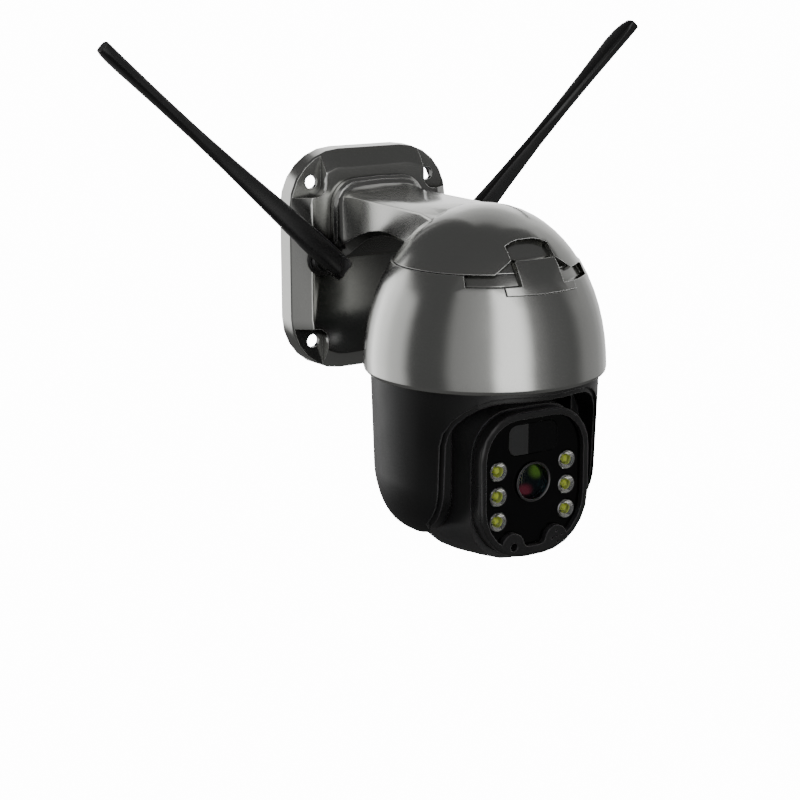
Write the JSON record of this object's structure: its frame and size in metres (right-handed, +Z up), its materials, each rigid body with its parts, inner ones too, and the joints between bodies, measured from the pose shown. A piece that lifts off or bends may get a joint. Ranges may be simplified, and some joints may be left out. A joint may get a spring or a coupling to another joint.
{
  "type": "pan-tilt security camera",
  "caption": "Outdoor pan-tilt camera: wall plate and arm carry a metal dome, a turning black drum and a tilting head with lens, lamps and motion window, plus folding antennas.",
  "frame": {"origin": "centre of the wall plate's back rim, on the wall's surface", "axes": "+Y into the wall, the camera looks along -Y, +Z up, +X to the right seen from the front"},
  "size_m": [0.2956, 0.1655, 0.2315],
  "materials": {
    "gunmetal": "satin metallic paint on a die casting",
    "black_plastic": "fine satin",
    "gloss_black": "polished",
    "pir_window": "smooth, slightly clouded",
    "lens_glass": "coated and polished",
    "reflector": "bright metallised",
    "steel": "plated",
    "brass": "turned",
    "rubber": "matt",
    "inner_plastic": "as moulded",
    "button_grey": "as moulded",
    "circuit_board": "solder mask",
    "cell_wrap": "shrink wrap"
  },
  "bodies": {
    "bracket": {"wall_plate": "gunmetal", "arm_housing": "gunmetal", "cable_grommet": "rubber", "arm_screw_1": "steel", "arm_screw_2": "steel", "arm_screw_3": "steel", "arm_screw_4": "steel", "dome_ring": "gunmetal", "front_clip": "gunmetal", "cap_seal": "rubber", "dome_base": "inner_plastic", "pan_bush": "brass", "pan_motor": "steel", "battery_tray": "inner_plastic", "battery_cell_1": "cell_wrap", "battery_cell_2": "cell_wrap", "main_board": "circuit_board", "antenna_socket_left": "black_plastic", "antenna_socket_right": "black_plastic"},
    "drive_pinion": {"pan_pinion": "brass"},
    "pan_body": {"pan_housing": "black_plastic", "rear_cover": "black_plastic", "rear_cover_screw_1": "steel", "rear_cover_screw_2": "steel", "pan_hub": "steel", "pan_gear": "inner_plastic", "hub_nut": "steel", "tilt_shaft": "steel", "tilt_bush": "brass"},
    "head": {"head_shell": "black_plastic", "front_bezel": "black_plastic", "front_panel": "gloss_black", "pir_window": "pir_window", "pir_sensor": "steel", "led_reflector_1": "reflector", "led_reflector_2": "reflector", "led_reflector_3": "reflector", "led_reflector_4": "reflector", "led_reflector_5": "reflector", "led_reflector_6": "reflector", "led_board": "circuit_board", "lens_barrel": "black_plastic", "lens_glass": "lens_glass", "sensor_board": "circuit_board", "speaker": "black_plastic", "microphone": "steel", "tilt_motor": "steel", "tilt_pivot": "steel", "card_cover": "black_plastic", "card_board": "circuit_board"},
    "reset": {"reset_button": "button_grey"},
    "left_swivel": {"antenna_swivel_left": "black_plastic", "antenna_pin_left": "steel"},
    "left_whip": {"antenna_mast_left": "black_plastic"},
    "right_swivel": {"antenna_swivel_right": "black_plastic", "antenna_pin_right": "steel"},
    "right_whip": {"antenna_mast_right": "black_plastic"}
  },
  "joints": [
    {"name": "pan", "type": "hinge", "parent": "bracket", "child": "pan_body", "pos_m": [0, -0.1105, -0.0345], "axis": [0, 0, 1], "range_deg": [-170, 170]},
    {"name": "pan_drive", "type": "hinge", "parent": "bracket", "child": "drive_pinion", "pos_m": [0.03, -0.1105, -0.027], "axis": [0, 0, 1], "range_deg": [-510, 510]},
    {"name": "tilt", "type": "hinge", "parent": "pan_body", "child": "head", "pos_m": [0, -0.1105, -0.081], "axis": [1, 0, 0], "range_deg": [-8, 90]},
    {"name": "reset_press", "type": "slide", "parent": "head", "child": "reset", "axis": [0, 0, 1], "range_m": [0, 0.0005], "stiffness_N_per_m": 1000, "springref_m": -0.0002},
    {"name": "left_antenna_turn", "type": "hinge", "parent": "bracket", "child": "left_swivel", "pos_m": [-0.0314, -0.0303, 0.0024], "axis": [0, 1, 0], "range_deg": [-45, 45]},
    {"name": "left_antenna_fold", "type": "hinge", "parent": "left_swivel", "child": "left_whip", "pos_m": [-0.0314, -0.0303, 0.0024], "axis": [0.6743, 0, 0.7385], "range_deg": [0, 45]},
    {"name": "right_antenna_turn", "type": "hinge", "parent": "bracket", "child": "right_swivel", "pos_m": [0.0314, -0.0303, 0.0024], "axis": [0, 1, 0], "range_deg": [-45, 45]},
    {"name": "right_antenna_fold", "type": "hinge", "parent": "right_swivel", "child": "right_whip", "pos_m": [0.0314, -0.0303, 0.0024], "axis": [0.6947, 0, -0.7193], "range_deg": [0, 45]}
  ],
  "couplings": [
    {"joint": "pan_drive", "follows": "pan", "ratio": -3}
  ]
}
